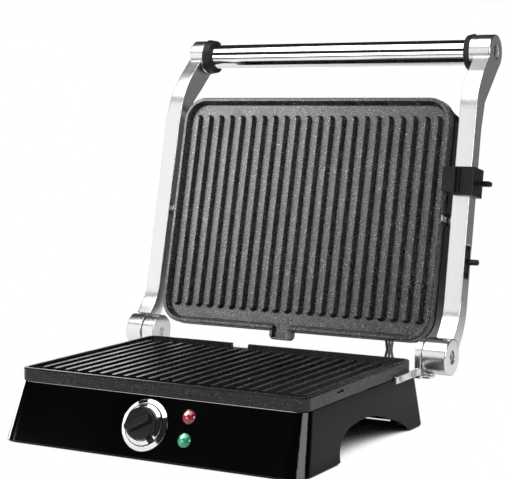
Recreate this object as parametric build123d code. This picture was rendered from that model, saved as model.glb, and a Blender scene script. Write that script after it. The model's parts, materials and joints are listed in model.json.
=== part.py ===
from build123d import *
import math
import os

os.makedirs("parts", exist_ok=True)

# Contact grill with an upright lid: two die-cast arms carry a floating upper head.
# Millimetres, +Z up, front of the grill toward -Y, counter at z = 0, lid drawn leaning back.

# ---------------------------------------------------------------- base shell
BASE_TOP_Z = 51.5          # deck that carries the lower plate
SHELL_Z = 1.5              # lower edge of the shell above the counter
TOP_HALF_W, TOP_FRONT_Y, TOP_BACK_Y = 144.0, -106.5, 111.5
BOT_HALF_W, BOT_FRONT_Y, BOT_BACK_Y = 150.8, -128.0, 118.9
TOP_R_FRONT, TOP_R_BACK = 11.0, 5.5
BOT_R_FRONT, BOT_R_BACK = 17.0, 9.0
WALL = 3.0
DECK_OPEN_W, DECK_OPEN_D = 250.0, 176.0
DECK_EDGE_R = 1.1
ARCH = [(-57, -2), (-54.5, 14), (-46, 22), (-28, 27), (-8, 28.5), (18, 26.5), (50, 17.5),
        (80, 6.5), (93, -2)]   # (y, z) down the curve of the side opening
COVER_Z, COVER_T = 29.5, 2.5
COVER_LOW_Z, COVER_STEP_Y = 4.0, -64.0   # the cover steps down in front to clear the controls
FOOT_R, FOOT_H = 7.0, 3.0
FOOT_FRONT, FOOT_BACK = (127.0, -104.0), (133.5, 103.5)
POST_R = 9.5
VENT_L, VENT_W, VENT_PITCH, VENTS, VENT_ROWS = 44.0, 5.0, 16.0, 9, (-16, 50)
CORD_X, CORD_Z, CORD_R, CORD_BORE_R = -92.0, 39.5, 5.5, 3.3
LEAD_X, LEAD_Z, LEAD_R = 99.0, 41.5, 7.0

# ---------------------------------------------------------------- plates
PLATE_T = 11.5
LOWER_W, LOWER_D, LOWER_R = 287.0, 213.0, 9.5
UPPER_W, UPPER_D, UPPER_R = 297.5, 234.5, 24.0
RIM, RIM_SLOPE, WELL = 3.6, 3.2, 6.6
UPPER_PITCH, LOWER_PITCH, RIDGES = 12.75, 12.55, 22
RIDGE_W, RIDGE_H, RIDGE_TAPER = 8.4, 4.9, 25
RIDGE_MARGIN = 17.0
PLATE_FLOOR = 3.2
SKIRT = 8.0
NOTCH_X, NOTCH_W, NOTCH_DEPTH = -38.0, 19.0, 4.2
SPOUT_X, SPOUT_W, SPOUT_OUT = -8.0, 24.0, 9.3
PLATE_BACK = WELL + PLATE_FLOOR
HEATER_R, HEATER_DROP, HEATER_GAP = 3.2, 8.0, 12.0
REF_LOWER = (248.0, 174.0, 11.0)     # width, depth, height of the tray behind the element
REF_UPPER = (248.0, 190.0, 13.0)
REF_MARGIN = 50.0

# ---------------------------------------------------------------- lid geometry
HINGE_Y, HINGE_Z = 127.5, 64.0
LEAN = 13.25               # lid leans back from upright
HEAD_U = 128.5             # middle of the upper plate, measured up the lid from the hinge
ARM_T = 17.0
ARM_LINE = [(0, 0), (19, 35), (8.5, 254), (38, 299.5)]   # (back, up) of the arm centre line
ARM_BEND = 60.0
NECK = [(17.2, 205), (21.5, 246), (50.5, 290), (38, 299.5), (9, 250)]   # thicker throat below the handle
BARREL_R = 17.2
HANDLE_V, HANDLE_U = 38.0, 299.5
HANDLE_R, HANDLE_WALL, HANDLE_SEAT = 12.7, 1.2, 5.5
COLLAR_R = 18.2
KNUCKLE_R = 16.6
STRIP_OUT, STRIP_FRONT, STRIP_BACK, STRIP_Z = 147.6, 62.0, 122.0, (47.2, 53.4)
UPRIGHT_BACK, BRACKET_Z = 133.0, 44.4
LUG_W, LUG_T, LUG_FRONT, LUG_BACK = 8.0, 2.0, 114.0, 127.0
STRIP_SCREWS = (72.0, 98.0)

# The two castings differ: the right one is the thick one that carries the stop and the lock.
# Front view of each arm: (up, inner x, outer x) from the hinge to above the handle.
RIGHT, LEFT = 1, -1
ARM_BAND = {RIGHT: [(-20, 156.6, 174.2), (60, 156.6, 173.2), (320, 156.6, 173.2)],
            LEFT: [(-20, 162.6, 178.2), (220, 155.5, 172.8), (262, 152.5, 166.5), (320, 150.0, 165.5)]}
KNUCKLE = {RIGHT: (143.6, 149.6), LEFT: (145.0, 158.6)}
HUB = {RIGHT: (151.1, 174.2), LEFT: (160.1, 178.0)}
HANDLE_HUB = {RIGHT: (151.0, 173.2), LEFT: (149.3, 165.5)}
COLLAR = {RIGHT: (145.5, 151.0), LEFT: (142.0, 149.3)}
ARM_OUT = 173.2
PIVOT_FACE = {RIGHT: 156.6, LEFT: 157.9}

BOLT_R, RUN_FIT = 4.0, 0.05
BOLT_HEAD_R, BOLT_HEAD_T = 5.2, 3.2
CBORE_R, CBORE_D = 6.3, 5.0
PIVOT_U, PIVOT_V, PIVOT_R = 130.0, 19.5, 3.5

# ---------------------------------------------------------------- upper head
HEAD_W, HEAD_D, HEAD_R = 299.0, 236.0, 25.0
HEAD_BACK = 46.0
HEAD_TAPER = 5.0
LEAD_HEAD_X, LEAD_HEAD_V = -99.0, 24.0
LEAD_WIRE_R, LEAD_SPACING = 1.4, 3.3

# ---------------------------------------------------------------- stop and lock on the right arm
GUIDE_U, GUIDE_L, GUIDE_W, GUIDE_T = 91.0, 32.0, 13.0, 3.4
SLIDE_U, SLIDE_H, SLIDE_GAP = 166.0, 27.0, 0.4
SLIDE_FRONT, SLIDE_BACK, SLIDE_OUT = 6.5, 3.2, 5.0      # walls in front of, behind and outside the arm
TAB_IN, TAB_OUT, TAB_FRONT = 23.2, 6.0, 7.5
GROOVES, GROOVE_PITCH, GROOVE_W = 4, 3.4, 1.2
LEVER_W, LEVER_H, LEVER_OUT = 5.5, 5.0, 12.0

# ---------------------------------------------------------------- controls
KNOB_X, KNOB_DOWN = -3.5, 26.0       # knob centre, distance down the sloped panel
LAMP_X, LAMP_DOWN = 37.6, (14.6, 34.4)
LAMP_R, LAMP_DOME_R, LAMP_RIM = 6.0, 8.0, 0.8
RING_R, RING_IN, RING_H, RING_RIM = 22.3, 18.6, 2.3, 0.8
KNOB_R, KNOB_H = 14.2, 8.0
SKIRT_R, SKIRT_Z, SKIRT_T = 17.8, 1.6, 1.2
GRIP_W, GRIP_H, GRIP_TURN = 10.0, 7.5, 28.0
POINTER_W, POINTER_TOP, POINTER_TURN = 5.2, 5.0, -49.0
TRIM_H = 1.5
SPINDLE_R = 3.0

PANEL_SLOPE = math.degrees(math.atan2(TOP_FRONT_Y - BOT_FRONT_Y, BASE_TOP_Z))
PANEL_T = WALL * math.cos(math.radians(PANEL_SLOPE))
LID = Location((0, HINGE_Y, HINGE_Z), (-LEAN, 0, 0))     # local Y back, local Z up the lid
HEAD = LID * Location((0, 0, HEAD_U), (90, 0, 0))        # local XY on the plate, Z toward the cook


def save(part, name):
    part.label = name
    export_step(part, f"parts/{name}.step")


def on_panel(x, down):
    """Frame on the sloped front panel, local Z pointing out of it."""
    a = math.radians(PANEL_SLOPE)
    origin = (x, TOP_FRONT_Y - down * math.sin(a), BASE_TOP_Z - down * math.cos(a))
    normal = (0, -math.cos(a), math.sin(a))
    return Location(Plane(origin=origin, x_dir=(1, 0, 0), z_dir=normal))


def x_rod(radius, x0, x1, y=0.0, z=0.0):
    """Round bar along X between two stations."""
    return Location(((x0 + x1) / 2, y, z), (0, 90, 0)) * Cylinder(radius, abs(x1 - x0))


def rod(radius, height, z0=0.0):
    """Round bar along Z starting at z0."""
    return Pos(0, 0, z0 + height / 2) * Cylinder(radius, height)


def slab(x0, x1, y0, y1, z0, z1):
    """Block between opposite corners."""
    return Pos((x0 + x1) / 2, (y0 + y1) / 2, (z0 + z1) / 2) * Box(x1 - x0, y1 - y0, z1 - z0)


def rounded_prism(width, depth, radius, z0, z1):
    outline = Plane.XY.offset(z0) * RectangleRounded(width, depth, radius)
    return extrude(outline, z1 - z0)


# ================================================================ base
def base_outline(z, inset):
    """Plan outline of the shell at height z, drawn in from the outside by inset."""
    t = 1 - z / BASE_TOP_Z
    half = TOP_HALF_W + (BOT_HALF_W - TOP_HALF_W) * t - inset
    front = TOP_FRONT_Y + (BOT_FRONT_Y - TOP_FRONT_Y) * t + inset
    back = TOP_BACK_Y + (BOT_BACK_Y - TOP_BACK_Y) * t - inset
    r_front = TOP_R_FRONT + (BOT_R_FRONT - TOP_R_FRONT) * t - inset
    r_back = TOP_R_BACK + (BOT_R_BACK - TOP_R_BACK) * t - inset
    sketch = Pos(0, (front + back) / 2) * Rectangle(2 * half, back - front)
    sketch = fillet(sketch.vertices().sort_by(Axis.Y)[:2], r_front)
    corners = [v for v in sketch.vertices() if abs(v.Y - back) < 0.01 and abs(abs(v.X) - half) < 0.01]
    sketch = fillet(corners, r_back)
    return Plane.XY.offset(z) * sketch


def base_body(z0, z1, inset=0.0):
    return loft([base_outline(z0, inset), base_outline(z1, inset)], ruled=True)


def foot_spots():
    spots = []
    for x, y in (FOOT_FRONT, FOOT_BACK):
        for side in (-1, 1):
            spots.append((side * x, y))
    return spots


def arch_cut():
    """Long low arch through both side walls, steep behind the front leg, easing to the rear foot."""
    with BuildSketch(Plane.YZ) as arch:
        with BuildLine():
            curve = Spline(*ARCH)
            Line(curve @ 1, curve @ 0)
        make_face()
    return extrude(arch.sketch, 200, both=True)


def back_wall_y(z):
    t = 1 - z / BASE_TOP_Z
    return TOP_BACK_Y + (BOT_BACK_Y - TOP_BACK_Y) * t


def back_hole(x, z, radius):
    return on_back(x, z) * Cylinder(radius, 30)


def base_housing():
    outside = base_body(SHELL_Z, BASE_TOP_Z)
    outside = fillet(outside.faces().sort_by(Axis.Z)[-1].edges(), DECK_EDGE_R)
    shell = outside - base_body(-1, BASE_TOP_Z - WALL, WALL)
    shell -= slab(-DECK_OPEN_W / 2, DECK_OPEN_W / 2, -DECK_OPEN_D / 2, DECK_OPEN_D / 2, 40, 60)
    for x, y in foot_spots():
        shell += Pos(x, y, 0) * rod(POST_R, COVER_Z - SHELL_Z, SHELL_Z)
    shell &= outside
    for x, y in foot_spots():
        shell -= Pos(x, y, 0) * rod(FOOT_R, FOOT_H)
    shell -= arch_cut()
    shell -= on_panel(KNOB_X, KNOB_DOWN) * Cylinder(SPINDLE_R + 1.0, 30)
    for down in LAMP_DOWN:
        shell -= on_panel(LAMP_X, down) * Cylinder(LAMP_R - 1.2, 30)
    shell -= back_hole(CORD_X, CORD_Z, CORD_R)
    shell -= back_hole(LEAD_X, LEAD_Z, LEAD_R)
    return shell


def bottom_cover():
    """Stepped closing panel with vent slots in its raised floor."""
    cover = base_body(COVER_LOW_Z, COVER_Z + COVER_T, WALL)
    cover -= slab(-200, 200, -200, COVER_STEP_Y - COVER_T, COVER_LOW_Z + COVER_T, 60)
    cover -= slab(-200, 200, COVER_STEP_Y, 200, -10, COVER_Z)
    vent = extrude(SlotOverall(VENT_L, VENT_W, rotation=90), 6, both=True)
    for row in VENT_ROWS:
        for i in range(-(VENTS // 2), VENTS // 2 + 1):
            cover -= Pos(i * VENT_PITCH, row, COVER_Z) * vent
    for x, y in foot_spots():
        cover -= Pos(x, y, 0) * rod(POST_R, COVER_Z)
    return cover


def rubber_feet():
    feet = [Pos(x, y, 0) * chamfer(rod(FOOT_R, FOOT_H).edges().group_by(Axis.Z)[0], 0.8)
            for x, y in foot_spots()]
    return Compound(children=feet)


WALL_TILT = math.degrees(math.atan2(BOT_BACK_Y - TOP_BACK_Y, BASE_TOP_Z))


def on_back(x, z):
    """Frame on the leaning back wall, local Z pointing out of it."""
    a = math.radians(WALL_TILT)
    plane = Plane(origin=(x, back_wall_y(z), z), x_dir=(1, 0, 0), z_dir=(0, math.cos(a), math.sin(a)))
    return Location(plane)


def cord_gland():
    """Flanged bush where the mains lead enters the back wall."""
    gland = rod(CORD_R, WALL + 3, -WALL - 3) + rod(CORD_R + 3, 2.5) + rod(CORD_R - 1, 9)
    return on_back(CORD_X, CORD_Z) * (gland - Cylinder(CORD_BORE_R, 60))


def lead_grommet():
    """Rubber bush round the leads that run up to the head."""
    bush = rod(LEAD_R, WALL + 3, -WALL - 3) + rod(LEAD_R + 2.2, 2.2)
    return on_back(LEAD_X, LEAD_Z) * (bush - Cylinder(LEAD_R - 2, 60))


# ================================================================ grill plates
def grill_plate(width, depth, radius, pitch):
    """Cast plate, rim top at z = 0, ridges running front to back."""
    plate = rounded_prism(width, depth, radius, -PLATE_T, 0)
    plate = fillet(plate.edges().group_by(Axis.Z)[-1], 1.2)
    top = RectangleRounded(width - 2 * RIM, depth - 2 * RIM, radius - RIM)
    inset = RIM + RIM_SLOPE
    low = RectangleRounded(width - 2 * inset, depth - 2 * inset, radius - inset)
    plate -= loft([Plane.XY.offset(0.01) * top, Plane.XY.offset(-WELL) * low], ruled=True)
    hollow_r = max(radius - SKIRT, 1.5) + 2
    plate -= rounded_prism(width - 2 * SKIRT, depth - 2 * SKIRT, hollow_r, -PLATE_T, -PLATE_BACK)
    slot = SlotOverall(depth - 2 * RIDGE_MARGIN, RIDGE_W, rotation=90)
    ridge = extrude(slot, RIDGE_H, taper=RIDGE_TAPER)
    for i in range(RIDGES):
        plate += Pos((i - (RIDGES - 1) / 2) * pitch, 0, -WELL) * ridge
    return plate


def lower_grill_plate():
    plate = grill_plate(LOWER_W, LOWER_D, LOWER_R, LOWER_PITCH)
    lip = Pos(NOTCH_X, LOWER_D / 2 - 4, -NOTCH_DEPTH) * Box(NOTCH_W, 14, NOTCH_DEPTH * 2)
    catch = slab(LOWER_W / 2 - 1.4, LOWER_W / 2 + 1, -50, -38, -5.5, -3.5)
    return Pos(0, 0, BASE_TOP_Z + PLATE_T) * (plate - Pos(0, 0, NOTCH_DEPTH) * lip - catch)


def upper_grill_plate():
    """Upper casting with its own drain spout on the hinge side."""
    plate = grill_plate(UPPER_W, UPPER_D, UPPER_R, UPPER_PITCH)
    edge = -UPPER_D / 2
    left, right = SPOUT_X - SPOUT_W / 2, SPOUT_X + SPOUT_W / 2
    spout = slab(left, right, edge - SPOUT_OUT, edge + 3, -9, -0.8)
    spout = chamfer(spout.edges().filter_by(Axis.Z).sort_by(Axis.Y)[:2], 3)
    spout -= slab(left + 3, right - 3, edge - SPOUT_OUT + 2, edge + 4, -4, 0)
    gap = slab(left + 3, right - 3, edge - 1, edge + 8, -4, 1)
    return HEAD * (plate + spout - gap)


def heater(width, depth):
    """Sheathed element bent in a broad loop, both ends turned down."""
    w, d, inner, gap = width / 2, depth / 2, depth * 0.15, HEATER_GAP
    bends = [(-gap, inner), (-gap, d), (-w, d), (-w, -d), (w, -d), (w, d), (gap, d), (gap, inner)]
    path = FilletPolyline(*bends, radius=10)
    tube = sweep(Plane(origin=path @ 0, z_dir=path % 0) * Circle(HEATER_R), path=path)
    for side in (-gap, gap):
        tube += Pos(side, inner, 0) * (Sphere(HEATER_R) + rod(HEATER_R, HEATER_DROP, -HEATER_DROP))
    return tube


def reflector(width, depth, height):
    """Open sheet tray behind the element, top edge at z = 0."""
    tray = rounded_prism(width, depth, 8, -height, 0)
    tray -= rounded_prism(width - 2, depth - 2, 7, -height + 1, 1)
    for side in (-HEATER_GAP, HEATER_GAP):
        tray -= Pos(side, 0.15 * (depth - REF_MARGIN), -height) * Cylinder(HEATER_R + 0.6, 8)
    return tray


# ================================================================ controls
def knob_bezel():
    """Polished ring round the knob with a fixed setting mark."""
    slope = RING_H - RING_RIM
    ring = rod(RING_R, RING_RIM) + Pos(0, 0, RING_RIM + slope / 2) * Cone(RING_R, RING_IN + 0.3, slope)
    return on_panel(KNOB_X, KNOB_DOWN) * (ring - rod(RING_IN, RING_H + 1, -0.5))


def knob_dial():
    """Black scale disc inside the ring."""
    disc = rod(RING_IN, 1.2) - rod(SPINDLE_R + 1.0, 4, -1)
    return on_panel(KNOB_X, KNOB_DOWN) * disc


def knob_pointer(clear=0.0):
    """Black pointer that crosses the bright band of the knob."""
    half = POINTER_W / 2 + clear
    return Rot(0, 0, POINTER_TURN) * slab(KNOB_R - 2, SKIRT_R, -half, half, SKIRT_Z, POINTER_TOP)


def temperature_knob():
    """Stepped knob: low skirt, round core and a bar grip across it."""
    body = rod(SKIRT_R, SKIRT_T, SKIRT_Z) + rod(KNOB_R, KNOB_H, SKIRT_Z)
    body = fillet(body.edges().group_by(Axis.Z)[-1], 1.4)
    grip = extrude(Plane.XY.offset(KNOB_H) * SlotOverall(2 * KNOB_R - 1.5, GRIP_W), GRIP_H, taper=10)
    body += Rot(0, 0, GRIP_TURN) * fillet(grip.edges().group_by(Axis.Z)[-1], 1.0)
    body += knob_pointer()
    body -= rod(SPINDLE_R, 7, 0)
    return on_panel(KNOB_X, KNOB_DOWN) * body


def knob_trim():
    """Bright sloped band seated on the knob's skirt."""
    z = SKIRT_Z + SKIRT_T
    band = Pos(0, 0, z + TRIM_H / 2) * Cone(SKIRT_R, KNOB_R + 0.8, TRIM_H)
    return on_panel(KNOB_X, KNOB_DOWN) * (band - rod(KNOB_R, TRIM_H + 2, z - 1) - knob_pointer(0.02))


def thermostat():
    case = Pos(0, 0, -PANEL_T - 7) * Box(30, 26, 14)
    case -= rod(SPINDLE_R + RUN_FIT, 30, -18)
    tags = [Pos(side * 8, 0, -PANEL_T - 18) * Box(5, 0.9, 8) for side in (-1, 1)]
    return on_panel(KNOB_X, KNOB_DOWN) * (case + tags)


def knob_spindle():
    return on_panel(KNOB_X, KNOB_DOWN) * rod(SPINDLE_R, 18, -11)


def lamp_lens(down):
    centre_z = LAMP_RIM - math.sqrt(LAMP_DOME_R ** 2 - LAMP_R ** 2)
    cap = (Pos(0, 0, centre_z) * Sphere(LAMP_DOME_R)) & rod(LAMP_R + 1, LAMP_DOME_R, LAMP_RIM)
    lens = cap + rod(LAMP_R, LAMP_RIM) + rod(LAMP_R - 1.2, PANEL_T + 3, -PANEL_T - 3)
    return on_panel(LAMP_X, down) * lens


def lamp_holders():
    holders = []
    for down in LAMP_DOWN:
        cup = rod(LAMP_R + 0.5, 9, -PANEL_T - 9) - rod(LAMP_R - 1.2, 3, -PANEL_T - 3)
        holders.append(on_panel(LAMP_X, down) * cup)
    return Compound(children=holders)


# ================================================================ hinge
def hinge_bracket(side):
    """Cast bracket on the shell's flank: foot strip, upright, fixed knuckle and a lug below the arm."""
    knuckle_in, knuckle_out = KNUCKLE[side]
    strip = slab(TOP_HALF_W - 0.1, STRIP_OUT, STRIP_FRONT, STRIP_BACK, *STRIP_Z)
    upright = slab(knuckle_in, knuckle_out, HINGE_Y - KNUCKLE_R, UPRIGHT_BACK, BRACKET_Z, HINGE_Z)
    lug = slab(knuckle_in, knuckle_out + LUG_W, LUG_FRONT, LUG_BACK, BRACKET_Z, BRACKET_Z + LUG_T)
    body = strip + upright + lug + x_rod(KNUCKLE_R, knuckle_in, knuckle_out, HINGE_Y, HINGE_Z)
    body -= x_rod(BOLT_R, 140, 165, HINGE_Y, HINGE_Z)
    body -= base_body(-1, BASE_TOP_Z)
    return mirror(body, Plane.YZ) if side < 0 else body


def bracket_screws():
    heads = []
    for side in (-1, 1):
        for y in STRIP_SCREWS:
            seat = Pos(side * (STRIP_OUT + 0.6), y, sum(STRIP_Z) / 2)
            heads.append(seat * Rot(0, 90, 0) * Cylinder(2.4, 1.2))
    return Compound(children=heads)


def hinge_bolts():
    """Shoulder bolts fixed in the brackets; the arms turn on them."""
    bolts = []
    for side in (-1, 1):
        head_x = HUB[side][1] - CBORE_D + 0.3
        head = x_rod(BOLT_HEAD_R, head_x, head_x + BOLT_HEAD_T)
        drive = x_rod(2.4, head_x + BOLT_HEAD_T - 1.6, head_x + BOLT_HEAD_T + 1)
        bolt = x_rod(BOLT_R, KNUCKLE[side][0], head_x) + head - drive
        bolts.append(Pos(0, HINGE_Y, HINGE_Z) * (mirror(bolt, Plane.YZ) if side < 0 else bolt))
    return Compound(children=bolts)


def hinge_washers():
    rings = []
    for side in (-1, 1):
        ring = x_rod(13.0, side * KNUCKLE[side][1], side * (HUB[side][0] - 0.35))
        ring -= x_rod(BOLT_R, -200, 200)
        rings.append(Pos(0, HINGE_Y, HINGE_Z) * ring)
    return Compound(children=rings)


# ================================================================ arms and handle
ARM_TILT = math.degrees(math.atan2(ARM_LINE[1][0] - ARM_LINE[2][0], ARM_LINE[2][1] - ARM_LINE[1][1]))


def on_arm(u):
    """Frame on the right arm's flank: local Z out of it, local Y up the arm."""
    t = (u - ARM_LINE[1][1]) / (ARM_LINE[2][1] - ARM_LINE[1][1])
    v = ARM_LINE[1][0] + (ARM_LINE[2][0] - ARM_LINE[1][0]) * t
    a = math.radians(ARM_TILT)
    return Location(Plane(origin=(ARM_OUT, v, u), x_dir=(0, math.cos(a), math.sin(a)), z_dir=(1, 0, 0)))


def arm_profile():
    """Side view of an arm: constant-width band along the bent centre line, thicker at the throat."""
    line = FilletPolyline(*ARM_LINE, radius=ARM_BEND)
    return trace(line, line_width=ARM_T) + make_face(Polyline(*NECK, close=True))


def arm_front(side):
    """Front view of an arm as a prism along Y."""
    inner = [(x_in, u) for u, x_in, x_out in ARM_BAND[side]]
    outer = [(x_out, u) for u, x_in, x_out in reversed(ARM_BAND[side])]
    face = make_face(Plane.XZ * Polyline(*inner, *outer, close=True))
    return extrude(face, 120, both=True)


def barrel(x0, x1):
    """Round hub of an arm with a softened outer rim."""
    hub = x_rod(BARREL_R, x0, x1)
    return fillet(hub.edges().filter_by(GeomType.CIRCLE).sort_by(Axis.X)[-1:], 1.2)


def arm(side):
    hub_in, hub_out = HUB[side]
    seat_in, seat_out = HANDLE_HUB[side]
    body = extrude(Plane.YZ.offset(140) * arm_profile(), 50) & arm_front(side)
    body += barrel(hub_in, hub_out)
    body += Pos(0, HANDLE_V, HANDLE_U) * barrel(seat_in, seat_out)
    body -= x_rod(BOLT_R + RUN_FIT, 148, 185)
    body -= x_rod(CBORE_R, hub_out - CBORE_D, 185)
    body -= x_rod(HANDLE_R, seat_in - 1, seat_in + HANDLE_SEAT, HANDLE_V, HANDLE_U)
    body -= x_rod(6.8, seat_out - 7, seat_out + 5, HANDLE_V, HANDLE_U)
    body -= x_rod(2.6, seat_in, seat_out, HANDLE_V, HANDLE_U)
    body -= x_rod(PIVOT_R, 140, PIVOT_FACE[side] + 8, PIVOT_V, PIVOT_U)
    if side > 0:
        pocket = extrude(RectangleRounded(GUIDE_W, GUIDE_L, 3), -GUIDE_T)
        body -= on_arm(GUIDE_U) * pocket
    else:
        body = mirror(body, Plane.YZ)
    return LID * body


def handle_tube():
    ends = [COLLAR[side][1] + HANDLE_SEAT for side in (LEFT, RIGHT)]
    tube = x_rod(HANDLE_R, -ends[0], ends[1], HANDLE_V, HANDLE_U)
    tube -= x_rod(HANDLE_R - HANDLE_WALL, -200, 200, HANDLE_V, HANDLE_U)
    return LID * tube


def handle_collar(side):
    """Flared black collar between the tube and the arm."""
    x_in, x_out = COLLAR[side]
    middle = Location(((x_in + x_out) / 2, 0, 0), (0, 90, 0))
    ring = middle * Cone(COLLAR_R - 1.2, COLLAR_R, x_out - x_in)
    ring -= x_rod(HANDLE_R, x_in - 1, x_out + 1)
    ring = Pos(0, HANDLE_V, HANDLE_U) * ring
    return LID * (mirror(ring, Plane.YZ) if side < 0 else ring)


def handle_plugs():
    """Threaded plugs pressed into the tube ends."""
    plugs = []
    for side in (-1, 1):
        x_out = COLLAR[side][1] + HANDLE_SEAT
        plug = x_rod(HANDLE_R - HANDLE_WALL, side * (x_out - 12), side * x_out, HANDLE_V, HANDLE_U)
        plug -= x_rod(2.4, -200, 200, HANDLE_V, HANDLE_U)
        plugs.append(LID * plug)
    return Compound(children=plugs)


def handle_screws():
    screws = []
    for side in (-1, 1):
        seat = HANDLE_HUB[side][1] - 7
        head = x_rod(4.6, seat, seat + 3.4) - x_rod(2.2, seat + 1.6, seat + 4)
        screw = Pos(0, HANDLE_V, HANDLE_U) * (head + x_rod(2.4, COLLAR[side][0] - 1, seat))
        screws.append(LID * (mirror(screw, Plane.YZ) if side < 0 else screw))
    return Compound(children=screws)


def head_pivots():
    """Shouldered pins pressed in the arms; the head rocks on them."""
    pins = []
    for side in (-1, 1):
        face = PIVOT_FACE[side]
        pin = x_rod(PIVOT_R, 141, face + 8) + x_rod(5.5, HEAD_W / 2 + 1.4, face - 0.2)
        pin = Pos(0, PIVOT_V, PIVOT_U) * pin
        pins.append(LID * (mirror(pin, Plane.YZ) if side < 0 else pin))
    return Compound(children=pins)


def lock_guide():
    """Black liner let into the right arm's flank."""
    liner = extrude(RectangleRounded(GUIDE_W, GUIDE_L, 3), -GUIDE_T)
    liner -= Pos(0, 0, 1) * extrude(RectangleRounded(GUIDE_W - 3, GUIDE_L - 3, 2), -GUIDE_T)
    return LID * on_arm(GUIDE_U) * liner


def lock_knob():
    plate = extrude(Plane.XY.offset(-GUIDE_T + 1.3) * RectangleRounded(GUIDE_W - 3.8, 20, 1.6), 1.6)
    pin = fillet(rod(2.8, 12.8, -1.5).edges().group_by(Axis.Z)[-1], 1.5)
    return LID * on_arm(GUIDE_U) * (plate + pin)


def height_slider():
    """Black stop that wraps the right arm, with a thumb lever and a tab toward the plate."""
    half = ARM_T / 2
    depth = ARM_OUT - PIVOT_FACE[RIGHT]
    low, high = -SLIDE_H / 2, SLIDE_H / 2
    front, back = -half - SLIDE_FRONT, half + SLIDE_BACK
    wrap = slab(front, back, low, high, -depth + 2.5, SLIDE_OUT)
    wrap = fillet(wrap.edges().filter_by(Axis.Y), 1.0)
    wrap -= slab(-half - SLIDE_GAP, half + SLIDE_GAP, low - 1, high + 1, -depth - 5, SLIDE_GAP)
    wrap += slab(front - TAB_FRONT, front + 1, low + 2, high - 1.5, -TAB_IN, -depth + TAB_OUT)
    for i in range(GROOVES):
        z = -9.6 + GROOVE_PITCH * i
        wrap -= slab(front - 1, front + 0.5, low - 1, high + 1, z, z + GROOVE_W)
    lever = Pos(half - 3, 0, 9.5) * Box(LEVER_W, LEVER_H, LEVER_OUT)
    lever = fillet(lever.edges().filter_by(Axis.X), 2.0)
    return LID * on_arm(SLIDE_U) * (wrap + lever)


# ================================================================ head
def upper_housing():
    """Black shell behind the upper plate with bored pivot bosses."""
    outer = extrude(RectangleRounded(HEAD_W, HEAD_D, HEAD_R), HEAD_BACK - PLATE_T, taper=HEAD_TAPER)
    outer = fillet(outer.edges().group_by(Axis.Z)[-1], 5)
    cavity = RectangleRounded(HEAD_W - 2 * WALL, HEAD_D - 2 * WALL, HEAD_R - WALL)
    inner = extrude(cavity, HEAD_BACK - PLATE_T - WALL, taper=HEAD_TAPER)
    shell = outer - inner
    for side in (-1, 1):
        boss = x_rod(7.0, side * 137, side * HEAD_W / 2, 0, PIVOT_V - PLATE_T)
        shell += Pos(0, -(PIVOT_U - HEAD_U), 0) * boss
    shell &= outer + slab(-HEAD_W / 2, HEAD_W / 2, -20, 20, 0.2, 17)
    shell -= Pos(0, -(PIVOT_U - HEAD_U), PIVOT_V - PLATE_T) * x_rod(PIVOT_R + RUN_FIT, -200, 200)
    lead_hole = Location((-LEAD_HEAD_X, HEAD_D / 2, LEAD_HEAD_V - PLATE_T), (90, 0, 0))
    shell -= lead_hole * Cylinder(6, 30)
    # drawn mouth down, turned so the mouth meets the back of the plate
    return HEAD * Pos(0, 0, -PLATE_T) * Rot(0, 180, 0) * Rot(0, 0, 180) * shell


def top_cover():
    """Brushed sheet panel on the outside of the head."""
    sheet = rounded_prism(250, 188, 18, 0, 1.2)
    return HEAD * Pos(0, 0, -HEAD_BACK - 1.2) * fillet(sheet.edges().group_by(Axis.Z)[0], 0.6)


def plate_clips():
    """Spring clips on the head's flanks that hold the upper plate."""
    clips = []
    for side in (-1, 1):
        clip = slab(UPPER_W / 2, UPPER_W / 2 + 1.6, -1.5, 3.5, -PLATE_T, -0.5)
        clip = mirror(clip, Plane.YZ) if side < 0 else clip
        clips.append(HEAD * clip)
    return Compound(children=clips)


# ================================================================ leads between base and head
def head_leads():
    """Three sleeved wires, base back wall to the head's lower edge."""
    strands = []
    a = math.radians(LEAN)
    top_u = HEAD_U - HEAD_D / 2 + 1
    y1 = HINGE_Y + top_u * math.sin(a) + LEAD_HEAD_V * math.cos(a)
    z1 = HINGE_Z + top_u * math.cos(a) - LEAD_HEAD_V * math.sin(a)
    y0 = back_wall_y(LEAD_Z) - 2
    for i in (-1, 0, 1):
        x = LEAD_X + LEAD_SPACING * i
        bends = [(x, y0, LEAD_Z), (x, y1 - 5, LEAD_Z), (x, y1 - 1.2, z1 - 6), (x, y1, z1)]
        path = FilletPolyline(*bends, radius=6)
        strands.append(sweep(Plane(origin=path @ 0, z_dir=path % 0) * Circle(LEAD_WIRE_R), path=path))
    return Compound(children=strands)


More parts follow.
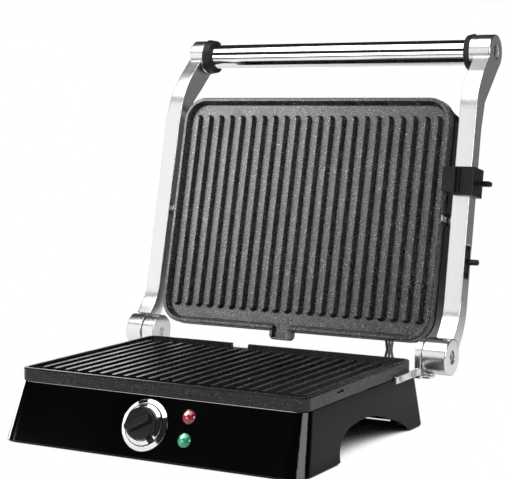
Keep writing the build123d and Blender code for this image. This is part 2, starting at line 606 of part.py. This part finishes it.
def main():
    save(base_housing(), "base_housing")
    save(bottom_cover(), "bottom_cover")
    save(rubber_feet(), "rubber_feet")
    save(cord_gland(), "cord_gland")
    save(lead_grommet(), "lead_grommet")
    save(lower_grill_plate(), "lower_grill_plate")
    back = BASE_TOP_Z + PLATE_T - PLATE_BACK
    lower_loop = heater(REF_LOWER[0] - REF_MARGIN, REF_LOWER[1] - REF_MARGIN)
    save(Pos(0, 0, back - HEATER_R) * lower_loop, "lower_heater")
    save(Pos(0, 0, back) * reflector(*REF_LOWER), "lower_reflector")
    save(knob_bezel(), "knob_bezel")
    save(knob_dial(), "knob_dial")
    save(temperature_knob(), "temperature_knob")
    save(knob_trim(), "knob_trim")
    save(knob_spindle(), "knob_spindle")
    save(thermostat(), "thermostat")
    save(lamp_lens(LAMP_DOWN[0]), "red_lamp")
    save(lamp_lens(LAMP_DOWN[1]), "green_lamp")
    save(lamp_holders(), "lamp_holders")
    for side, name in ((-1, "left"), (1, "right")):
        save(hinge_bracket(side), f"hinge_bracket_{name}")
        save(arm(side), f"arm_{name}")
        save(handle_collar(side), f"handle_collar_{name}")
    save(bracket_screws(), "bracket_screws")
    save(hinge_bolts(), "hinge_bolts")
    save(hinge_washers(), "hinge_washers")
    save(handle_tube(), "handle_tube")
    save(handle_plugs(), "handle_plugs")
    save(handle_screws(), "handle_screws")
    save(head_pivots(), "head_pivots")
    save(lock_guide(), "lock_guide")
    save(lock_knob(), "lock_knob")
    save(height_slider(), "height_slider")
    save(upper_housing(), "upper_housing")
    save(top_cover(), "top_cover")
    save(upper_grill_plate(), "upper_grill_plate")
    save(plate_clips(), "plate_clips")
    upper_loop = heater(REF_UPPER[0] - REF_MARGIN, REF_UPPER[1] - REF_MARGIN)
    save(HEAD * Pos(0, 0, -PLATE_BACK - HEATER_R) * upper_loop, "upper_heater")
    save(HEAD * Pos(0, 0, -PLATE_BACK) * reflector(*REF_UPPER), "upper_reflector")
    save(head_leads(), "head_leads")


main()
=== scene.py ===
import json
import math

import bpy
from mathutils import Matrix, Vector


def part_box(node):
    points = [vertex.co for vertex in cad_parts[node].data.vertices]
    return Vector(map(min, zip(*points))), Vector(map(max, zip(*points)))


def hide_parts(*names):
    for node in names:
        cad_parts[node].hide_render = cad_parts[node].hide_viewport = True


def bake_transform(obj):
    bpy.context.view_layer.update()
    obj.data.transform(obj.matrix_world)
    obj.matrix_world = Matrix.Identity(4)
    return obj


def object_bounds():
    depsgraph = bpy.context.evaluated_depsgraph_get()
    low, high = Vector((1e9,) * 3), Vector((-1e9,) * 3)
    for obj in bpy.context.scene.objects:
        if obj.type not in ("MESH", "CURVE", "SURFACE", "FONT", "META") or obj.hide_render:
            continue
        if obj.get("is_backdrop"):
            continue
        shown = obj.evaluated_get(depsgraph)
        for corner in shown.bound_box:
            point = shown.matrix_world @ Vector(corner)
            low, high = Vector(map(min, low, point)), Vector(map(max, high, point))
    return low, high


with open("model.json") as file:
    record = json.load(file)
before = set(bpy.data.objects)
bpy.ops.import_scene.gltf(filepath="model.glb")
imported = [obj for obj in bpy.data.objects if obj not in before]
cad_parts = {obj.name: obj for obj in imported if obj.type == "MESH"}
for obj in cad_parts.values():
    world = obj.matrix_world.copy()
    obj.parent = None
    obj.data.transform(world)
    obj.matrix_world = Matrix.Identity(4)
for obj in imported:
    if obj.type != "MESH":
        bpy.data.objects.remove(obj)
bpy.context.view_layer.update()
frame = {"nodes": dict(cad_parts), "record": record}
nodes = frame["nodes"]
scene = bpy.context.scene

# ------------------------------------------------------------------ camera
# The view is from the front right, a little above the lid's middle.
CAMERA_AT = Vector((0.6746, -1.1333, 0.2960))
YAW, PITCH, ROLL = math.radians(29.43), math.radians(5.23), math.radians(-0.07)
LENS = 104.6

camera_data = bpy.data.cameras.new("camera")
camera_data.lens = LENS
camera_data.sensor_width = 36.0
camera_data.clip_start = 0.01
camera = bpy.data.objects.new("camera", camera_data)
scene.collection.objects.link(camera)
turn = Matrix.Rotation(YAW, 4, "Z")
turn = turn @ Matrix.Rotation(math.pi / 2 - PITCH, 4, "X")
turn = turn @ Matrix.Rotation(-ROLL, 4, "Z")
camera.matrix_world = Matrix.Translation(CAMERA_AT) @ turn
scene.camera = camera


# ------------------------------------------------------------------ shader helpers
class Graph:
    """Small builder for one material's node tree."""

    def __init__(self, name):
        self.material = bpy.data.materials.new(name)
        self.material.use_nodes = True
        self.nodes = self.material.node_tree.nodes
        self.links = self.material.node_tree.links
        self.shader = self.nodes["Principled BSDF"]
        self.place = self.nodes.new("ShaderNodeTexCoord").outputs["Object"]

    def link(self, source, target):
        self.links.new(source, target)

    def set(self, **values):
        for key, value in values.items():
            self.shader.inputs[key.replace("_", " ")].default_value = value

    def stretched(self, x, y, z):
        """Object coordinates scaled differently along each axis."""
        node = self.nodes.new("ShaderNodeMapping")
        node.inputs["Scale"].default_value = (x, y, z)
        self.link(self.place, node.inputs["Vector"])
        return node.outputs["Vector"]

    def noise(self, scale, detail=3.0, rough=0.5, vector=None):
        node = self.nodes.new("ShaderNodeTexNoise")
        node.inputs["Scale"].default_value = scale
        node.inputs["Detail"].default_value = detail
        node.inputs["Roughness"].default_value = rough
        self.link(vector or self.place, node.inputs["Vector"])
        return node.outputs["Fac"]

    def cells(self, scale, vector=None):
        node = self.nodes.new("ShaderNodeTexVoronoi")
        node.inputs["Scale"].default_value = scale
        self.link(vector or self.place, node.inputs["Vector"])
        return node.outputs["Distance"]

    def ramp(self, source, low, high, first, last):
        """Smooth map of a source from low..high onto first..last."""
        node = self.nodes.new("ShaderNodeMapRange")
        node.interpolation_type = "SMOOTHSTEP"
        node.inputs["From Min"].default_value = low
        node.inputs["From Max"].default_value = high
        node.inputs["To Min"].default_value = first
        node.inputs["To Max"].default_value = last
        self.link(source, node.inputs["Value"])
        return node.outputs["Result"]

    def mix(self, factor, first, last):
        node = self.nodes.new("ShaderNodeMix")
        node.data_type = "RGBA"
        self.link(factor, node.inputs["Factor"])
        for socket, value in ((node.inputs[6], first), (node.inputs[7], last)):
            if isinstance(value, tuple):
                socket.default_value = (*value, 1.0)
            else:
                self.link(value, socket)
        return node.outputs[2]

    def multiply(self, first, last):
        node = self.nodes.new("ShaderNodeMath")
        node.operation = "MULTIPLY"
        self.link(first, node.inputs[0])
        self.link(last, node.inputs[1])
        return node.outputs[0]

    def bump(self, height, strength, distance, edge=0.0):
        """Bump from a height, over a rounding of sharp edges."""
        node = self.nodes.new("ShaderNodeBump")
        node.inputs["Strength"].default_value = strength
        node.inputs["Distance"].default_value = distance
        self.link(height, node.inputs["Height"])
        if edge:
            bevel = self.nodes.new("ShaderNodeBevel")
            bevel.samples = 6
            bevel.inputs["Radius"].default_value = edge
            self.link(bevel.outputs["Normal"], node.inputs["Normal"])
        self.link(node.outputs["Normal"], self.shader.inputs["Normal"])


def gloss_black():
    g = Graph("gloss_black")
    g.set(IOR=1.45)
    # broad, sideways faces shine less than the front panel and the rounded corners
    facing = g.nodes.new("ShaderNodeSeparateXYZ")
    g.link(g.nodes["Texture Coordinate"].outputs["Normal"], facing.inputs[0])
    sideways = g.nodes.new("ShaderNodeMath")
    sideways.operation = "ABSOLUTE"
    g.link(facing.outputs["X"], sideways.inputs[0])
    g.link(g.ramp(sideways.outputs[0], 0.9, 0.985, 0.36, 0.1), g.shader.inputs["Specular IOR Level"])
    tone = g.mix(g.noise(50.0, 3.0), (0.0003, 0.0003, 0.0004), (0.0007, 0.0007, 0.0008))
    g.link(tone, g.shader.inputs["Base Color"])
    g.link(g.ramp(g.noise(9.0, 4.0), 0.3, 0.7, 0.08, 0.12), g.shader.inputs["Roughness"])
    g.bump(g.noise(260.0, 2.0), 0.04, 0.0004, 0.0006)
    return g.material


def moulded_black(name, base, rough, grain):
    g = Graph(name)
    tone = g.mix(g.ramp(g.noise(40.0, 4.0), 0.3, 0.7, 0.0, 1.0), base, tuple(1.5 * c for c in base))
    g.link(tone, g.shader.inputs["Base Color"])
    g.link(g.ramp(g.noise(25.0), 0.3, 0.7, rough - 0.06, rough + 0.06), g.shader.inputs["Roughness"])
    g.set(Specular_IOR_Level=0.3)
    g.bump(g.noise(grain, 3.0), 0.25, 0.0003, 0.0005)
    return g.material


def coated_plate(name, fleck, pale, speckled, gloss):
    """Dark non-stick coating: fine, small and large pale flecks over a drawn, blasted ground.

    fleck is the size of a fleck in its cell, pale its brightness, speckled the share of fine ones.
    """
    g = Graph(name)
    patches = g.ramp(g.noise(30.0, 3.0), 0.35, 0.65, 0.25, 1.0)
    fleck_fine = g.ramp(g.cells(1250.0), 0.2, 0.34, 1.0, 0.0)
    fleck_small = g.ramp(g.cells(900.0), fleck, fleck + 0.08, 1.0, 0.0)
    fleck_large = g.ramp(g.cells(430.0), 0.6 * fleck, 0.6 * fleck + 0.06, 1.0, 0.0)
    dark, light = (0.003, 0.003, 0.0035), (0.011, 0.011, 0.012)
    drawn = g.noise(60.0, 4.0, 0.6, g.stretched(0.6, 0.6, 14.0))
    ground = g.mix(g.ramp(drawn, 0.35, 0.65, 0.0, 1.0), dark, light)
    scattered = g.multiply(fleck_fine, g.ramp(g.noise(400.0), 0.5, 0.7, 0.0, speckled))
    with_fine = g.mix(scattered, ground, (0.3, 0.3, 0.305))
    middling = (0.6 * pale, 0.6 * pale, 0.61 * pale)
    with_small = g.mix(g.multiply(fleck_small, patches), with_fine, middling)
    g.link(g.mix(fleck_large, with_small, (pale, pale, pale)), g.shader.inputs["Base Color"])
    g.link(g.ramp(g.noise(60.0, 4.0), 0.3, 0.7, 0.24, 0.34), g.shader.inputs["Roughness"])
    g.set(Specular_IOR_Level=gloss)
    g.bump(g.noise(1400.0, 3.0), 0.45, 0.0004, 0.0006)
    return g.material


def cast_arm():
    """Satin die casting, nearly smooth, with a trace of draw along the arm."""
    g = Graph("cast_arm")
    grain = g.noise(60.0, 6.0, 0.6, g.stretched(9.0, 9.0, 0.8))
    g.link(g.mix(grain, (0.80, 0.80, 0.81), (0.85, 0.85, 0.855)), g.shader.inputs["Base Color"])
    g.set(Metallic=1.0)
    g.link(g.ramp(grain, 0.3, 0.7, 0.23, 0.26), g.shader.inputs["Roughness"])
    g.bump(grain, 0.02, 0.0003, 0.0014)
    return g.material


def tube_steel():
    """Polished tube with faint lines turned round it."""
    g = Graph("tube_steel")
    lines = g.noise(90.0, 5.0, 0.6, g.stretched(14.0, 0.6, 0.6))
    g.link(g.mix(lines, (0.74, 0.73, 0.71), (0.86, 0.85, 0.83)), g.shader.inputs["Base Color"])
    g.set(Metallic=1.0)
    g.link(g.ramp(lines, 0.3, 0.7, 0.07, 0.12), g.shader.inputs["Roughness"])
    g.bump(lines, 0.03, 0.0002)
    return g.material


def metal(name, base, rough, stretch, bump=0.08):
    g = Graph(name)
    lines = g.noise(120.0, 5.0, 0.6, g.stretched(*stretch))
    g.link(g.mix(lines, tuple(0.86 * c for c in base), base), g.shader.inputs["Base Color"])
    g.set(Metallic=1.0)
    g.link(g.ramp(lines, 0.3, 0.7, rough * 0.8, rough * 1.2), g.shader.inputs["Roughness"])
    g.bump(lines, bump, 0.0003, 0.0004)
    return g.material


def lens(name, tint):
    """Tinted translucent lamp lens with moulded facets behind its face."""
    g = Graph(name)
    facets = g.cells(520.0)
    lighter = tuple(min(1.0, 1.4 * c + 0.01) for c in tint)
    g.link(g.mix(facets, tint, lighter), g.shader.inputs["Base Color"])
    g.set(Roughness=0.1, IOR=1.5, Coat_Weight=1.0, Subsurface_Weight=0.2, Subsurface_Scale=0.002)
    g.shader.inputs["Subsurface Radius"].default_value = tuple(max(c, 0.05) for c in tint)
    g.set(Coat_Roughness=0.12)
    g.bump(facets, 0.08, 0.0003, 0.0005)
    return g.material


def rubber():
    g = Graph("rubber")
    tone = g.mix(g.noise(300.0), (0.012, 0.012, 0.012), (0.022, 0.022, 0.022))
    g.link(tone, g.shader.inputs["Base Color"])
    g.set(Roughness=0.75)
    g.bump(g.noise(900.0), 0.3, 0.0003)
    return g.material


def sleeving(name, tint):
    """Thin woven sleeve over a coloured core."""
    g = Graph(name)
    g.link(g.mix(g.noise(420.0, 4.0), tuple(0.45 * c for c in tint), tint), g.shader.inputs["Base Color"])
    g.set(Roughness=0.38, Coat_Weight=0.4)
    g.bump(g.cells(1500.0), 0.3, 0.0002)
    return g.material


# ------------------------------------------------------------------ finishes on the CAD nodes
materials = {
    "gloss_black": gloss_black(),
    "matte_black": moulded_black("matte_black", (0.010, 0.010, 0.0105), 0.5, 900.0),
    "satin_black": moulded_black("satin_black", (0.004, 0.004, 0.0045), 0.3, 1200.0),
    "rubber_black": rubber(),
    "nonstick": coated_plate("nonstick", 0.17, 0.9, 1.0, 0.7),
    "element_steel": metal("element_steel", (0.22, 0.20, 0.19), 0.5, (4, 4, 4)),
    "sheet_steel": metal("sheet_steel", (0.62, 0.62, 0.63), 0.3, (8, 1, 1)),
    "chrome_trim": metal("chrome_trim", (0.86, 0.86, 0.88), 0.08, (2, 2, 2), 0.02),
    "lens_red": lens("lens_red", (0.12, 0.001, 0.004)),
    "lens_green": lens("lens_green", (0.0, 0.13, 0.065)),
    "cast_arm": cast_arm(),
    "screw_steel": metal("screw_steel", (0.60, 0.60, 0.61), 0.28, (3, 3, 3)),
    "handle_steel": tube_steel(),
    "brushed_cover": metal("brushed_cover", (0.66, 0.66, 0.67), 0.27, (0.4, 16, 16), 0.12),
    "lead_sleeve": sleeving("lead_sleeve", (0.30, 0.27, 0.25)),
}
# painted shade: the lower plate gets a darker copy of the same coating, with dimmer and fewer flecks
shaded_plate_copy = {"lower_grill_plate": coated_plate("nonstick_lower_shaded", 0.13, 0.5, 0.7, 0.42)}
slot_of = {part["node"]: part["material_slot"] for part in frame["record"]["subparts"]}
for name, node in nodes.items():
    node.data.materials.clear()
    node.data.materials.append(shaded_plate_copy.get(name, materials[slot_of[name]]))


# ------------------------------------------------------------------ leads between base and head
def wire(name, route, radius):
    """Round sleeved wire along a smooth route."""
    curve = bpy.data.curves.new(name, "CURVE")
    curve.dimensions = "3D"
    curve.bevel_depth = radius
    curve.bevel_resolution = 5
    curve.resolution_u = 12
    spline = curve.splines.new("BEZIER")
    spline.bezier_points.add(len(route) - 1)
    for point, at in zip(spline.bezier_points, route):
        point.co = at
        point.handle_left_type = point.handle_right_type = "AUTO"
    drawn = bpy.data.objects.new(name + "_curve", curve)
    scene.collection.objects.link(drawn)
    mesh = bpy.data.meshes.new_from_object(drawn.evaluated_get(bpy.context.evaluated_depsgraph_get()))
    bpy.data.objects.remove(drawn)
    tube = bpy.data.objects.new(name, mesh)
    scene.collection.objects.link(tube)
    for face in mesh.polygons:
        face.use_smooth = True
    return tube


WIRE_R, SWAY, LIFT, REAR_GAP = 0.0013, 0.0012, 0.0006, 0.0015
low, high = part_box("head_leads")
tall, deep = high.z - low.z, high.y - low.y
lead_middle, lead_spread = (low.x + high.x) / 2, (high.x - low.x) / 2 - WIRE_R
SLEEVES = {
    "lead_brown": (0.10, 0.035, 0.02),
    "lead_grey": (0.30, 0.29, 0.28),
    "lead_clear": (0.34, 0.27, 0.22),
}
for step, (name, tint) in zip((-1, 0, 1), SLEEVES.items()):
    x = lead_middle + step * lead_spread
    sway = SWAY * step
    route = [
        (x, low.y, low.z + WIRE_R),
        (x, low.y + 0.55 * deep, low.z + WIRE_R + LIFT),
        (x + sway, high.y - 0.004, low.z + 0.3 * tall),
        (x - sway, high.y - REAR_GAP, low.z + 0.7 * tall),
        (x, high.y - WIRE_R, high.z),
    ]
    finish = sleeving(name, tint)
    # each wire crosses two joints and is drawn in two pieces, its lower length and its end
    for piece, points, bodies in ((name, route[:4], ("base", "lid_arms")),
                                  (name + "_end", route[3:], ("lid_arms", "head"))):
        tube = wire(piece, points, WIRE_R)
        tube.data.materials.append(finish)
        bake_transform(tube)
        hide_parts("head_leads")


# ------------------------------------------------------------------ studio
FLOOR_R, FADE_FROM, FADE_TO = 1.6, 0.45, 1.3
SHADE_REACH = 0.13
bpy.ops.mesh.primitive_circle_add(vertices=96, radius=FLOOR_R, fill_type="NGON", location=(0, 0, 0))
floor = bpy.context.object
floor.name = "floor"
floor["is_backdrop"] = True


def pale_paper():
    """Matt white floor: seen as evenly lit paper, with a painted shadow that darkens it only where the
    object covers it.
    """
    g = Graph("pale_paper")
    g.link(g.mix(g.noise(5.0), (0.93, 0.93, 0.93), (0.95, 0.95, 0.95)), g.shader.inputs["Base Color"])
    g.set(Roughness=0.95, Specular_IOR_Level=0.0)
    # painted contact shadow: to the camera the floor glows, but dimmer where the object is close above or
    # beside it
    painted_shadow_ao = g.nodes.new("ShaderNodeAmbientOcclusion")
    painted_shadow_ao.samples = 24
    painted_shadow_ao.inputs["Distance"].default_value = SHADE_REACH
    glow = g.nodes.new("ShaderNodeEmission")
    g.link(g.ramp(painted_shadow_ao.outputs["AO"], 0.06, 0.44, 0.0, 1.0), glow.inputs["Strength"])
    seen = g.nodes.new("ShaderNodeLightPath")
    paper = g.nodes.new("ShaderNodeMixShader")
    g.link(seen.outputs["Is Camera Ray"], paper.inputs[0])
    g.link(g.shader.outputs[0], paper.inputs[1])
    g.link(glow.outputs[0], paper.inputs[2])
    length = g.nodes.new("ShaderNodeVectorMath")
    length.operation = "LENGTH"
    g.link(g.place, length.inputs[0])
    clear = g.nodes.new("ShaderNodeBsdfTransparent")
    blend = g.nodes.new("ShaderNodeMixShader")
    g.link(g.ramp(length.outputs["Value"], FADE_FROM, FADE_TO, 0.0, 1.0), blend.inputs[0])
    g.link(paper.outputs[0], blend.inputs[1])
    g.link(clear.outputs[0], blend.inputs[2])
    g.link(blend.outputs[0], g.nodes["Material Output"].inputs["Surface"])
    return g.material


floor.data.materials.append(pale_paper())


def softbox(name, at, toward, width, height, glow):
    """Rectangular lamp whose face has the given brightness, unseen by the camera."""
    data = bpy.data.lights.new(name, "AREA")
    data.shape = "RECTANGLE"
    data.size, data.size_y = width, height
    data.energy = glow * math.pi * width * height
    light = bpy.data.objects.new(name, data)
    light.location = at
    light.rotation_euler = (Vector(toward) - Vector(at)).to_track_quat("-Z", "Y").to_euler()
    light.visible_camera = False
    scene.collection.objects.link(light)
    return light


def reach(light, names, state):
    """Let a lamp light only the named pieces, or everything but them."""
    group = bpy.data.collections.new(light.name + "_reach")
    for name in names:
        group.objects.link(nodes[name])
    for entry in group.collection_objects:
        entry.light_linking.link_state = state
    light.light_linking.receiver_collection = group


CASTINGS = ("arm_left", "arm_right", "hinge_bracket_left", "hinge_bracket_right")
UPPER, LOWER = ("upper_grill_plate",), ("lower_grill_plate",)
PLATES = UPPER + LOWER
CHROME = ("knob_bezel", "knob_trim")
LENSES = ("red_lamp", "green_lamp")
SHELL = ("base_housing",)
FRONT_LEFT, RIGHT = (-1.35, -2.0, 0.42), (1.55, -0.55, 0.62)
BACK_LEFT, TOP = (-0.85, 1.5, 0.34), (-0.35, -0.75, 2.0)
MIDDLE, LOW, DIAL = (0, 0.05, 0.2), (0, 0, 0.1), (0, -0.12, 0.03)

# name, place, aim, width, height, brightness, then the pieces that the lamp leaves out or is kept to
LAMPS = (
    ("front_left", FRONT_LEFT, MIDDLE, 1.9, 0.85, 3.4, CASTINGS + PLATES, "EXCLUDE"),
    ("right", RIGHT, (0.1, -0.05, 0.1), 1.3, 0.6, 6.5, PLATES + CHROME, "EXCLUDE"),
    ("left", (-1.8, 0.5, 0.34), (-0.1, 0, 0.1), 1.5, 0.7, 3.2, PLATES, "EXCLUDE"),
    ("top", TOP, (0, 0.1, 0.1), 2.0, 1.6, 3.6, PLATES, "EXCLUDE"),
    ("back_left", BACK_LEFT, LOW, 1.7, 0.9, 2.2, (), ""),
    ("back_right", (1.0, 1.6, 0.4), (0.1, 0, 0.1), 1.5, 1.1, 0.16, (), ""),
    ("castings", (-1.35, -2.0, 0.75), MIDDLE, 1.9, 1.7, 1.1, CASTINGS, "INCLUDE"),
    ("plate_sheen", (-0.80, -0.62, 0.70), (-0.14, 0.17, 0.29), 0.7, 0.6, 9.0, UPPER, "INCLUDE"),
    ("plate_side", RIGHT, (0.1, -0.05, 0.1), 1.3, 0.6, 1.2, UPPER, "INCLUDE"),
    ("ridge_shine", BACK_LEFT, LOW, 1.5, 0.6, 4.5, LOWER, "INCLUDE"),
    ("plate_top", TOP, (0, 0.1, 0.1), 2.0, 1.6, 1.6, PLATES, "INCLUDE"),
    ("deck_edge", (-1.0, -0.6, 1.7), (0, -0.1, 0.05), 1.5, 0.9, 20.0, SHELL, "INCLUDE"),
    ("corner", (-1.5, 0.35, 0.25), (-0.15, -0.1, 0.03), 0.9, 0.7, 9.0, SHELL, "INCLUDE"),
    ("chrome", (-1.0, -0.25, 0.35), DIAL, 0.9, 0.8, 1.6, CHROME, "INCLUDE"),
    ("lens_shine", (-0.75, -0.30, 0.75), (0.04, -0.12, 0.03), 0.75, 0.75, 20.0, LENSES, "INCLUDE"),
)
for *setting, names, state in LAMPS:
    light = softbox(*setting)
    if names:
        reach(light, names, state)

# The backdrop is white to the camera; matt surfaces get a soft fill and shiny ones almost none.
FILL, SHINE_FILL, BACKDROP = 0.24, 0.02, 1.0
world = bpy.data.worlds.new("world")
scene.world = world
world.use_nodes = True
tree = world.node_tree
level = tree.nodes["Background"]
level.inputs["Color"].default_value = (1, 1, 1, 1)
ray = tree.nodes.new("ShaderNodeLightPath")
for flag, strength, below in (("Is Glossy Ray", SHINE_FILL, FILL), ("Is Camera Ray", BACKDROP, None)):
    pick = tree.nodes.new("ShaderNodeMix")
    pick.inputs["B"].default_value = strength
    tree.links.new(ray.outputs[flag], pick.inputs["Factor"])
    if below is None:
        tree.links.new(last, pick.inputs["A"])
    else:
        pick.inputs["A"].default_value = below
    last = pick.outputs["Result"]
tree.links.new(last, level.inputs["Strength"])
scene.view_settings.view_transform = "Standard"

low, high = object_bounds()
